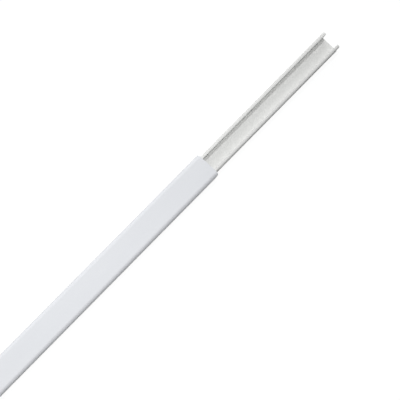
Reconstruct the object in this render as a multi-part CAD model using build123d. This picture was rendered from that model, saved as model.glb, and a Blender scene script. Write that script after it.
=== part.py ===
from build123d import *
import os

# Cord cover raceway: a U-shaped base with a stick-on back, and a cover that slides along it.
# All sizes in millimetres. X runs along the stock, Y across it, Z up from the face that goes on the wall.

# Lengths along the stock: each piece is cut to one length, and the cover is slid back to show the base
stock_length = 400.0
exposed_length = 144.0

# Base channel, measured over its walls and from its back to the top of its beads
base_width = 14.0
base_height = 8.55
base_wall = 1.5
base_floor = 1.2
floor_fillet = 0.5

# Foot: the floor stands out past each wall
foot_reach = 0.8
foot_back_radius = 0.5
foot_top_radius = 0.4

# Bead along the top of each wall, which holds the cover down
bead_reach = 0.8
bead_height = 2.2
bead_top_radius = 1.45
bead_under_radius = 0.4
wall_top_radius = 0.3
groove_fillet = 0.2

# Sliding cover
cover_wall = 1.1
cover_top = 1.2
cover_side_gap = 1.1
cover_corner_radius = 2.7
cover_lift = 0.3
cover_edge_radius = 0.35

# Rib inside each side of the cover, which runs in the groove between bead and foot
rib_thickness = 1.2
rib_radius = 0.4
rib_root_fillet = 0.3

# Running clearance of the cover: over the bead, under it, and beside the wall
slide_clearance = 0.25

# Stick-on back: a foam tape, and the liner that covers its glue until it is used
tape_width = 11.0
tape_thickness = 0.8
liner_thickness = 0.15

# Heights above the wall face
tape_bottom = liner_thickness
base_bottom = tape_bottom + tape_thickness
floor_top = base_bottom + base_floor
base_top = base_bottom + base_height
bead_under = base_top - bead_height
rib_top = bead_under - slide_clearance
rib_under = rib_top - rib_thickness
ceiling = base_top + slide_clearance
cover_crown = ceiling + cover_top
cover_bottom = base_bottom + cover_lift

# Half widths
wall_outer = base_width / 2
wall_inner = wall_outer - base_wall
foot_tip = wall_outer + foot_reach
bead_tip = wall_outer + bead_reach
rib_tip = wall_outer + slide_clearance
cover_inner = bead_tip + cover_side_gap
cover_outer = cover_inner + cover_wall

# Ends: the base is centred on the origin
base_start = -stock_length / 2
cover_start = base_start - exposed_length

# Radii as far as the walls beside them allow
foot_back_round = min(foot_back_radius, 0.5 * base_floor)
foot_top_round = min(foot_top_radius, 0.4 * base_floor, 0.6 * foot_reach)
groove_round = min(groove_fillet, 0.3 * foot_reach, 0.3 * bead_reach)
bead_under_round = min(bead_under_radius, 0.65 * bead_reach, 0.25 * bead_height)
bead_top_round = min(bead_top_radius, 0.65 * (base_wall + bead_reach), 0.67 * bead_height)
wall_top_round = min(wall_top_radius, 0.3 * base_wall)
rib_round = min(rib_radius, 0.45 * rib_thickness)
edge_round = min(cover_edge_radius, 0.45 * cover_wall)
cover_inner_round = min(cover_corner_radius - cover_wall, ceiling - rib_top - 1.2 * rib_root_fillet)


def mirrored(half):
    # A whole section from the corners of its half with positive Y, each as Y, Z and radius
    other_half = [(-y, z, radius) for y, z, radius in reversed(half)]
    return half + other_half


def stock(section, start):
    # One length of extruded stock, from the corners of its section
    corners = [(y, z) for y, z, radius in section]
    radii = [radius for y, z, radius in section]
    with BuildPart() as length:
        with BuildSketch(Plane.YZ.offset(start)):
            with BuildLine():
                FilletPolyline(*corners, radius=radii, close=True)
            make_face()
        extrude(amount=stock_length)
    return length.part


def strip(bottom, thickness):
    # A flat strip as long as the base, along the middle of its back
    with BuildPart() as flat:
        with Locations((0, 0, bottom)):
            Box(
                stock_length,
                tape_width,
                thickness,
                align=(Align.CENTER, Align.CENTER, Align.MIN),
            )
    return flat.part


# Up the outside of the wall, over its bead and down the inside
base_section = mirrored(
    [
        (foot_tip, base_bottom, foot_back_round),
        (foot_tip, floor_top, foot_top_round),
        (wall_outer, floor_top, groove_round),
        (wall_outer, bead_under, groove_round),
        (bead_tip, bead_under, bead_under_round),
        (bead_tip, base_top, bead_top_round),
        (wall_inner, base_top, wall_top_round),
        (wall_inner, floor_top, floor_fillet),
    ]
)

# Down the inside of the wall, round its rib and lower edge, and up the outside
cover_section = mirrored(
    [
        (cover_inner, ceiling, cover_inner_round),
        (cover_inner, rib_top, rib_root_fillet),
        (rib_tip, rib_top, rib_round),
        (rib_tip, rib_under, rib_round),
        (cover_inner, rib_under, rib_root_fillet),
        (cover_inner, cover_bottom, edge_round),
        (cover_outer, cover_bottom, edge_round),
        (cover_outer, cover_crown, cover_corner_radius),
    ]
)

base_channel = stock(base_section, base_start)
slide_cover = stock(cover_section, cover_start)
adhesive_tape = strip(tape_bottom, tape_thickness)
release_liner = strip(0, liner_thickness)

os.makedirs("parts", exist_ok=True)
export_step(base_channel, "parts/base_channel.step")
export_step(slide_cover, "parts/slide_cover.step")
export_step(adhesive_tape, "parts/adhesive_tape.step")
export_step(release_liner, "parts/release_liner.step")
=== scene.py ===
import math

import bpy
from mathutils import Matrix, Vector


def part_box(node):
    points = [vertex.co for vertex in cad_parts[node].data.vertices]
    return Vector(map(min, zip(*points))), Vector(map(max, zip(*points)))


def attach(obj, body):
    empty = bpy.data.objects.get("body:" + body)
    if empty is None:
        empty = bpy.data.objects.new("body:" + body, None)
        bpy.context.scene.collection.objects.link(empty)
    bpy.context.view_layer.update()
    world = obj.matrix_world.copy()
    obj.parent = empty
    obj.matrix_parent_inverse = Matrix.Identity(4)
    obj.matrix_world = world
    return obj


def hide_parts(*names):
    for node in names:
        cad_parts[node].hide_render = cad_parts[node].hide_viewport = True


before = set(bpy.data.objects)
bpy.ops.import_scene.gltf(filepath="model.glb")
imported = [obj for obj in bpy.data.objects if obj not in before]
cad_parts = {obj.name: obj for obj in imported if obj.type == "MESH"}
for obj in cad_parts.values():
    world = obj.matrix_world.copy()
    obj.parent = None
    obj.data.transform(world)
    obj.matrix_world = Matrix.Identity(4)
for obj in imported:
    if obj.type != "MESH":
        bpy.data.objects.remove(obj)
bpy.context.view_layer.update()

mm = 0.001
print("frame loaded:", sorted(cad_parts))


# Small helpers for objects and node trees

noiseMiddle = {"low": 0.3, "high": 0.7}  # nearly all of a noise lies between these
# a Mix node has these sockets once for each type, under one name, so the colour ones go by number
colourMix = {"first": 6, "second": 7, "result": 2}


def newObject(name, data):
    thing = bpy.data.objects.new(name, data)
    bpy.context.scene.collection.objects.link(thing)
    return thing


def addNode(tree, kind, **settings):
    node = tree.nodes.new(kind)
    for name, value in settings.items():
        setattr(node, name, value)
    return node


def fill(tree, socket, value):
    # with the output of another node, or with a plain value
    if isinstance(value, bpy.types.NodeSocket):
        tree.links.new(value, socket)
    else:
        socket.default_value = value


def feed(tree, node, values):
    for name, value in values.items():
        fill(tree, node.inputs[name], value)


def feedInOrder(tree, node, *values):
    # for nodes whose sockets share one name
    for socket, value in zip(node.inputs, values):
        fill(tree, socket, value)


def newMaterial(name):
    material = bpy.data.materials.new(name)
    material.use_nodes = True
    return material, material.node_tree, material.node_tree.nodes["Principled BSDF"]


def noise(tree, pattern):
    # on the piece's own coordinates, stretched per axis
    place = addNode(tree, "ShaderNodeTexCoord")
    stretch = addNode(tree, "ShaderNodeMapping")
    feed(tree, stretch, {"Vector": place.outputs["Object"], "Scale": pattern["stretch"]})
    grain = addNode(tree, "ShaderNodeTexNoise")
    feed(tree, grain, {
        "Vector": stretch.outputs["Vector"],
        "Scale": pattern["size"],
        "Detail": pattern["detail"],
        "Roughness": pattern["roughness"],
    })
    return grain.outputs["Fac"]


def spread(tree, value, low, high):
    # the middle of a noise, mapped to a range
    ranged = addNode(tree, "ShaderNodeMapRange")
    feed(tree, ranged, {
        "Value": value,
        "From Min": noiseMiddle["low"],
        "From Max": noiseMiddle["high"],
        "To Min": low,
        "To Max": high,
    })
    return ranged.outputs["Result"]


def blendColours(tree, value, colours):
    pale, deep = colours
    mix = addNode(tree, "ShaderNodeMix", data_type="RGBA")
    feed(tree, mix, {"Factor": spread(tree, value, 0, 1)})
    mix.inputs[colourMix["first"]].default_value = (*pale, 1)
    mix.inputs[colourMix["second"]].default_value = (*deep, 1)
    return mix.outputs[colourMix["result"]]


def bump(tree, height, depth, strength, under=None):
    relief = addNode(tree, "ShaderNodeBump")
    feed(tree, relief, {"Height": height, "Distance": depth, "Strength": strength})
    if under is not None:
        feed(tree, relief, {"Normal": under})
    return relief.outputs["Normal"]


# Finishes: each pair of colours is the pale and the deep end of a faint clouding

pvcLook = {
    "coverColours": ((0.800, 0.815, 0.846), (0.780, 0.797, 0.829)),
    "baseColours": ((0.816, 0.819, 0.809), (0.796, 0.800, 0.789)),
    "clouds": {"stretch": (0.25, 1, 1), "size": 70, "detail": 3, "roughness": 0.5},
    "dieLines": {"stretch": (0.02, 1, 1), "size": 700, "detail": 4, "roughness": 0.6},  # drawn out along X
    "dieLineDepth": 0.05 * mm,
    "dieLineStrength": 0.8,
    "grain": {"stretch": (1, 1, 1), "size": 5200, "detail": 2, "roughness": 0.5},
    "grainDepth": 0.004 * mm,
    "grainStrength": 0.4,
    "roughness": (0.48, 0.60),
    "specular": 0.15,
}


def extrudedPvc(name, colours):
    material, tree, shader = newMaterial(name)
    look = pvcLook
    clouds = noise(tree, look["clouds"])
    lines = noise(tree, look["dieLines"])
    grain = noise(tree, look["grain"])
    relief = bump(tree, lines, look["dieLineDepth"], look["dieLineStrength"])
    relief = bump(tree, grain, look["grainDepth"], look["grainStrength"], under=relief)
    feed(tree, shader, {
        "Base Color": blendColours(tree, clouds, colours),
        "Roughness": spread(tree, lines, *look["roughness"]),
        "Normal": relief,
        "Specular IOR Level": look["specular"],
    })
    return material


sawnLook = {
    "colours": ((0.80, 0.81, 0.81), (0.72, 0.73, 0.73)),
    "marks": {"stretch": (1, 0.25, 1), "size": 2600, "detail": 4, "roughness": 0.7},  # run across the cut
    "markDepth": 0.03 * mm,
    "markStrength": 0.6,
    "roughness": (0.6, 0.8),
    "ior": 1.53,
}


def sawnPvc(name):
    # the cut ends: duller than the drawn faces, with the saw's fine marks
    material, tree, shader = newMaterial(name)
    look = sawnLook
    marks = noise(tree, look["marks"])
    feed(tree, shader, {
        "Base Color": blendColours(tree, marks, look["colours"]),
        "Roughness": spread(tree, marks, *look["roughness"]),
        "Normal": bump(tree, marks, look["markDepth"], look["markStrength"]),
        "IOR": look["ior"],
    })
    return material


foamLook = {
    "colours": ((0.80, 0.79, 0.70), (0.74, 0.73, 0.62)),
    "clouds": {"stretch": (0.4, 1, 1), "size": 90, "detail": 3, "roughness": 0.5},
    "cells": {"stretch": (1, 1, 1), "size": 3800, "detail": 3, "roughness": 0.6},
    "skinCellDepth": 0.05 * mm,
    "cutCellDepth": 0.12 * mm,
    "cellStrength": 0.6,
    "roughness": (0.62, 0.85),
}


def foamTape(name, cellDepth):
    material, tree, shader = newMaterial(name)
    look = foamLook
    cells = noise(tree, look["cells"])
    clouds = noise(tree, look["clouds"])
    feed(tree, shader, {
        "Base Color": blendColours(tree, clouds, look["colours"]),
        "Roughness": spread(tree, cells, *look["roughness"]),
        "Normal": bump(tree, cells, cellDepth, look["cellStrength"]),
    })
    return material


paperLook = {
    "colours": ((0.50, 0.35, 0.075), (0.42, 0.275, 0.05)),
    "clouds": {"stretch": (0.5, 1, 1), "size": 60, "detail": 4, "roughness": 0.5},
    "fibres": {"stretch": (0.15, 1, 1), "size": 1500, "detail": 5, "roughness": 0.65},
    "fibreDepth": 0.012 * mm,
    "fibreStrength": 0.4,
    "roughness": (0.28, 0.42),
}


def waxedPaper(name):
    material, tree, shader = newMaterial(name)
    look = paperLook
    fibres = noise(tree, look["fibres"])
    clouds = noise(tree, look["clouds"])
    feed(tree, shader, {
        "Base Color": blendColours(tree, clouds, look["colours"]),
        "Roughness": spread(tree, fibres, *look["roughness"]),
        "Normal": bump(tree, fibres, look["fibreDepth"], look["fibreStrength"]),
    })
    return material


coverSkin = extrudedPvc("coverPvc", pvcLook["coverColours"])
baseSkin = extrudedPvc("basePvc", pvcLook["baseColours"])
sawnEnd = sawnPvc("sawnPvc")
foamSkin = foamTape("tapeFoam", foamLook["skinCellDepth"])
cutFoam = foamTape("cutFoam", foamLook["cutCellDepth"])
paperSkin = waxedPaper("linerPaper")
print("finishes made")


# Sections in millimetres: the corners of one half, each as across, up and radius

baseSection = {
    "footTip": 7.8, "wallOuter": 7.0, "wallInner": 5.5, "beadTip": 7.8,
    "back": 0.95, "floorTop": 2.15, "beadUnder": 7.3, "top": 9.5,
    "footBackRadius": 0.5, "footTopRadius": 0.4, "grooveRadius": 0.2,
    "beadUnderRadius": 0.4, "beadTopRadius": 1.45, "wallTopRadius": 0.3, "floorRadius": 0.5,
    "cutChamfer": 0.1,
}


def baseCorners(size):
    return [
        (size["footTip"], size["back"], size["footBackRadius"]),
        (size["footTip"], size["floorTop"], size["footTopRadius"]),
        (size["wallOuter"], size["floorTop"], size["grooveRadius"]),
        (size["wallOuter"], size["beadUnder"], size["grooveRadius"]),
        (size["beadTip"], size["beadUnder"], size["beadUnderRadius"]),
        (size["beadTip"], size["top"], size["beadTopRadius"]),
        (size["wallInner"], size["top"], size["wallTopRadius"]),
        (size["wallInner"], size["floorTop"], size["floorRadius"]),
    ]


coverSection = {
    "outer": 10.0, "inner": 8.9, "ribTip": 7.25,
    "bottom": 1.25, "ribUnder": 5.85, "ribTop": 7.05, "ceiling": 9.75, "crown": 10.95,
    "cornerRadius": 2.7, "innerRadius": 1.6, "edgeRadius": 0.35, "ribRadius": 0.4, "ribRootRadius": 0.3,
    "cutChamfer": 0.1,
}


def coverCorners(size):
    return [
        (size["inner"], size["ceiling"], size["innerRadius"]),
        (size["inner"], size["ribTop"], size["ribRootRadius"]),
        (size["ribTip"], size["ribTop"], size["ribRadius"]),
        (size["ribTip"], size["ribUnder"], size["ribRadius"]),
        (size["inner"], size["ribUnder"], size["ribRootRadius"]),
        (size["inner"], size["bottom"], size["edgeRadius"]),
        (size["outer"], size["bottom"], size["edgeRadius"]),
        (size["outer"], size["crown"], size["cornerRadius"]),
    ]


tapeSection = {
    "edge": 5.42, "bulge": 5.5, "bottom": 0.15, "top": 0.95,
    "edgeRadius": 0.08, "bulgeRadius": 0.6, "cutChamfer": 0.04,
}


def tapeCorners(size):
    middle = (size["bottom"] + size["top"]) / 2
    return [
        (size["edge"], size["bottom"], size["edgeRadius"]),
        (size["bulge"], middle, size["bulgeRadius"]),  # pressed foam swells at its sides
        (size["edge"], size["top"], size["edgeRadius"]),
    ]


linerSection = {"edge": 5.5, "bottom": 0.0, "top": 0.15, "edgeRadius": 0.03, "cutChamfer": 0.02}


def linerCorners(size):
    return [
        (size["edge"], size["bottom"], size["edgeRadius"]),
        (size["edge"], size["top"], size["edgeRadius"]),
    ]


# Drawing the stock

stockLook = {
    "cornerSteps": 14,
    "endFacing": 0.9,  # a face turned further along X than this is a cut end
    "chamferOver": math.radians(60),  # only the rims of the cut ends are as sharp as this
    "smoothUnder": math.radians(25),
}


def sectionLoop(name, half):
    # a closed loop of edges with a radius at each corner, both halves
    corners = half + [(-across, up, radius) for across, up, radius in reversed(half)]
    count = len(corners)
    loop = bpy.data.meshes.new(name)
    edges = [(i, (i + 1) % count) for i in range(count)]
    loop.from_pydata([(across * mm, up * mm, 0) for across, up, radius in corners], edges, [])
    rounding = loop.attributes.new("cornerRadius", "FLOAT", "POINT")
    rounding.data.foreach_set("value", [radius * mm for across, up, radius in corners])
    return newObject(name, loop)


def extrudedStockTree():
    # rounds the corners of a section and draws it along X, with sawn ends
    tree = bpy.data.node_groups.new("extrudedStock", "GeometryNodeTree")
    sockets = tree.interface
    sockets.new_socket(name="Section", in_out="INPUT", socket_type="NodeSocketGeometry")
    sockets.new_socket(name="Stock", in_out="OUTPUT", socket_type="NodeSocketGeometry")
    sockets.new_socket(name="Start", in_out="INPUT", socket_type="NodeSocketFloat")
    sockets.new_socket(name="Length", in_out="INPUT", socket_type="NodeSocketFloat")
    sockets.new_socket(name="Corner Steps", in_out="INPUT", socket_type="NodeSocketInt")
    sockets.new_socket(name="Skin", in_out="INPUT", socket_type="NodeSocketMaterial")
    sockets.new_socket(name="Cut End", in_out="INPUT", socket_type="NodeSocketMaterial")
    given = addNode(tree, "NodeGroupInput").outputs

    outline = addNode(tree, "GeometryNodeMeshToCurve")
    feed(tree, outline, {"Mesh": given["Section"]})
    radius = addNode(tree, "GeometryNodeInputNamedAttribute", data_type="FLOAT")
    feed(tree, radius, {"Name": "cornerRadius"})
    rounded = addNode(tree, "GeometryNodeFilletCurve", mode="POLY")
    feed(tree, rounded, {
        "Curve": outline.outputs["Curve"],
        "Count": given["Corner Steps"],
        "Radius": radius.outputs["Attribute"],
    })

    first = addNode(tree, "ShaderNodeCombineXYZ")
    feed(tree, first, {"X": given["Start"]})
    far = addNode(tree, "ShaderNodeMath", operation="ADD")
    feedInOrder(tree, far, given["Start"], given["Length"])
    last = addNode(tree, "ShaderNodeCombineXYZ")
    feed(tree, last, {"X": far.outputs["Value"]})
    run = addNode(tree, "GeometryNodeCurvePrimitiveLine")
    feed(tree, run, {"Start": first.outputs["Vector"], "End": last.outputs["Vector"]})
    upright = addNode(tree, "GeometryNodeSetCurveTilt")  # a run along X draws its section upside down
    feed(tree, upright, {"Curve": run.outputs["Curve"], "Tilt": math.pi})

    drawn = addNode(tree, "GeometryNodeCurveToMesh")
    feed(tree, drawn, {
        "Curve": upright.outputs["Curve"],
        "Profile Curve": rounded.outputs["Curve"],
        "Fill Caps": True,
    })
    real = addNode(tree, "GeometryNodeRealizeInstances")
    feed(tree, real, {"Geometry": drawn.outputs["Mesh"]})
    skinned = addNode(tree, "GeometryNodeSetMaterial")
    feed(tree, skinned, {"Geometry": real.outputs["Geometry"], "Material": given["Skin"]})

    facing = addNode(tree, "ShaderNodeSeparateXYZ")
    feed(tree, facing, {"Vector": addNode(tree, "GeometryNodeInputNormal").outputs["Normal"]})
    along = addNode(tree, "ShaderNodeMath", operation="ABSOLUTE")
    feedInOrder(tree, along, facing.outputs["X"])
    isEnd = addNode(tree, "FunctionNodeCompare", operation="GREATER_THAN")
    feedInOrder(tree, isEnd, along.outputs["Value"], stockLook["endFacing"])
    finished = addNode(tree, "GeometryNodeSetMaterial")
    feed(tree, finished, {
        "Geometry": skinned.outputs["Geometry"],
        "Selection": isEnd.outputs["Result"],
        "Material": given["Cut End"],
    })
    feed(tree, addNode(tree, "NodeGroupOutput"), {"Stock": finished.outputs["Geometry"]})
    return tree


def runTree(source, tree, values):
    modifier = source.modifiers.new(tree.name, "NODES")
    modifier.node_group = tree
    for item in tree.interface.items_tree:
        if item.in_out == "INPUT" and item.name in values:
            modifier[item.identifier] = values[item.name]


def plainPiece(source, name):
    # the evaluated result as a mesh of its own; the source and its modifiers go
    graph = bpy.context.evaluated_depsgraph_get()
    mesh = bpy.data.meshes.new_from_object(source.evaluated_get(graph))
    mesh.name = name
    bpy.data.objects.remove(source)
    return newObject(name, mesh)


def stockPiece(name, node, corners, section, skin, cut):
    low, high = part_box(node)
    source = sectionLoop(name + "Section", corners(section))
    runTree(source, stockTree, {
        "Start": low.x,
        "Length": high.x - low.x,
        "Corner Steps": stockLook["cornerSteps"],
        "Skin": skin,
        "Cut End": cut,
    })
    drawn = plainPiece(source, name + "Drawn")
    chamfer = drawn.modifiers.new("cutChamfer", "BEVEL")
    chamfer.width = section["cutChamfer"] * mm
    chamfer.segments = 1
    chamfer.limit_method = "ANGLE"
    chamfer.angle_limit = stockLook["chamferOver"]
    smooth = drawn.modifiers.new("flatFaces", "WEIGHTED_NORMAL")  # the flats shade flat up to their corners
    smooth.keep_sharp = True
    drawn.data.shade_smooth()
    drawn.data.set_sharp_from_angle(angle=stockLook["smoothUnder"])
    return plainPiece(drawn, name)


stockTree = extrudedStockTree()
baseChannel = stockPiece("baseChannel", "base_channel", baseCorners, baseSection, baseSkin, sawnEnd)
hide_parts("base_channel")
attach(baseChannel, "base")
slideCover = stockPiece("slideCover", "slide_cover", coverCorners, coverSection, coverSkin, sawnEnd)
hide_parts("slide_cover")
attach(slideCover, "cover")
print("base and cover drawn")

foamStrip = stockPiece("foamStrip", "adhesive_tape", tapeCorners, tapeSection, foamSkin, cutFoam)
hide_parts("adhesive_tape")
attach(foamStrip, "base")
linerStrip = stockPiece("linerStrip", "release_liner", linerCorners, linerSection, paperSkin, paperSkin)
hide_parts("release_liner")
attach(linerStrip, "base")
print("tape and liner drawn")


# Floor and light

def seenDirectly(tree):
    # 1 for what the camera sees, also by reflection or through glass
    path = addNode(tree, "ShaderNodeLightPath").outputs
    either = addNode(tree, "ShaderNodeMath", operation="MAXIMUM")
    feedInOrder(tree, either, path["Is Camera Ray"], path["Is Glossy Ray"])
    anyOf = addNode(tree, "ShaderNodeMath", operation="MAXIMUM")
    feedInOrder(tree, anyOf, either.outputs["Value"], path["Is Transmission Ray"])
    return anyOf.outputs["Value"]


floorLook = {
    "size": 30.0,
    "under": 0.02 * mm,  # a hair below the liner, so that no two faces share a plane
    "seen": (0.15, 0.15, 0.15),  # takes the shadow, and makes white with the glow
    "glow": 0.9,
    "bounced": (0.6, 0.6, 0.6),  # what the floor throws back at the stock
}


def makeFloor():
    look = floorLook
    half = look["size"] / 2
    level = -look["under"]
    mesh = bpy.data.meshes.new("floor")
    corners = [(-half, -half, level), (half, -half, level), (half, half, level), (-half, half, level)]
    mesh.from_pydata(corners, [], [(0, 1, 2, 3)])
    floor = newObject("floor", mesh)
    material = bpy.data.materials.new("paleFloor")
    material.cycles.emission_sampling = "NONE"  # the glow is only seen, it lights nothing
    material.use_nodes = True
    tree = material.node_tree
    tree.nodes.clear()
    pale = addNode(tree, "ShaderNodeBsdfDiffuse")
    feed(tree, pale, {"Color": (*look["seen"], 1)})
    glow = addNode(tree, "ShaderNodeEmission")
    feed(tree, glow, {"Strength": look["glow"]})
    lit = addNode(tree, "ShaderNodeAddShader")
    feedInOrder(tree, lit, pale.outputs["BSDF"], glow.outputs["Emission"])
    dim = addNode(tree, "ShaderNodeBsdfDiffuse")
    feed(tree, dim, {"Color": (*look["bounced"], 1)})
    choose = addNode(tree, "ShaderNodeMixShader")
    feedInOrder(tree, choose, seenDirectly(tree), dim.outputs["BSDF"], lit.outputs["Shader"])
    feed(tree, addNode(tree, "ShaderNodeOutputMaterial"), {"Surface": choose.outputs["Shader"]})
    mesh.materials.append(material)


skyLook = {
    "patch": (0.346, 0.824, 0.448),  # the way to the middle of a soft bright patch, like a window
    "patchEdge": 0.80,  # cosines of the angle from the patch's middle
    "patchMiddle": 0.98,
    "patchLevel": 2.05,
    "level": 0.06,
    "seen": 1.0,
}


def makeSky():
    look = skyLook
    world = bpy.data.worlds.new("softRoom")
    bpy.context.scene.world = world
    world.use_nodes = True
    tree = world.node_tree
    tree.nodes.clear()
    towards = addNode(tree, "ShaderNodeTexCoord")
    near = addNode(tree, "ShaderNodeVectorMath", operation="DOT_PRODUCT")
    feedInOrder(tree, near, towards.outputs["Generated"], look["patch"])
    lit = addNode(tree, "ShaderNodeMapRange", interpolation_type="SMOOTHSTEP")
    feed(tree, lit, {
        "Value": near.outputs["Value"],
        "From Min": look["patchEdge"],
        "From Max": look["patchMiddle"],
        "To Min": look["level"],
        "To Max": look["patchLevel"],
    })
    level = addNode(tree, "ShaderNodeMapRange")
    feed(tree, level, {
        "Value": seenDirectly(tree),
        "To Min": lit.outputs["Result"],
        "To Max": look["seen"],
    })
    sky = addNode(tree, "ShaderNodeBackground")
    feed(tree, sky, {"Color": (1, 1, 1, 1), "Strength": level.outputs["Result"]})
    feed(tree, addNode(tree, "ShaderNodeOutputWorld"), {"Surface": sky.outputs["Background"]})


keyLook = {"place": (0.0, 0.26, 0.92), "aim": (0.0, 0.0, 0.0), "size": 0.02, "power": 2.62}
softboxLook = {"place": (-0.15, -0.02, 0.70), "aim": (-0.15, -0.02, 0.0), "size": 0.18, "power": 2.22}


def makeLamp(name, look):
    light = bpy.data.lights.new(name, "AREA")
    light.shape = "DISK"
    light.size = look["size"]
    light.energy = look["power"]
    lamp = newObject(name, light)
    lamp.location = look["place"]
    aim = Vector(look["aim"]) - Vector(look["place"])
    lamp.rotation_euler = aim.to_track_quat("-Z", "Y").to_euler()
    lamp.visible_camera = False
    lamp.visible_glossy = False


makeFloor()
makeSky()
makeLamp("key", keyLook)
makeLamp("softbox", softboxLook)
print("floor and light made")


# Camera: looks along the stock from the cover's end, turned so that the stock runs up to the right

cameraLook = {
    "back": (-0.481, -0.055),  # across the floor, of the unit vector from the object to the camera
    "stockAngle": math.radians(45.461),  # how far the stock's X axis is turned up from the picture's right
    "target": (32.85 * mm, -13.21 * mm, 6.0 * mm),
    "distance": 4.5,
    "frameWidth": 280.6 * mm,
    "sensor": 36.0,
    "clipEnd": 100.0,
}


def makeCamera():
    look = cameraLook
    backX, backY = look["back"]
    back = Vector((backX, backY, math.sqrt(1 - backX ** 2 - backY ** 2)))
    stock = Vector((1, 0, 0))
    stock = (stock - back * stock.dot(back)).normalized()
    across = back.cross(stock)
    turn = look["stockAngle"]
    right = stock * math.cos(turn) - across * math.sin(turn)
    up = stock * math.sin(turn) + across * math.cos(turn)
    lens = bpy.data.cameras.new("camera")
    lens.sensor_width = look["sensor"]
    lens.lens = look["sensor"] * look["distance"] / look["frameWidth"]
    lens.clip_end = look["clipEnd"]
    camera = newObject("camera", lens)
    place = Matrix((right, up, back)).transposed().to_4x4()
    place.translation = Vector(look["target"]) + back * look["distance"]
    camera.matrix_world = place
    bpy.context.scene.camera = camera


makeCamera()
bpy.context.scene.view_settings.view_transform = "Standard"
print("camera set")

bpy.context.view_layer.update()
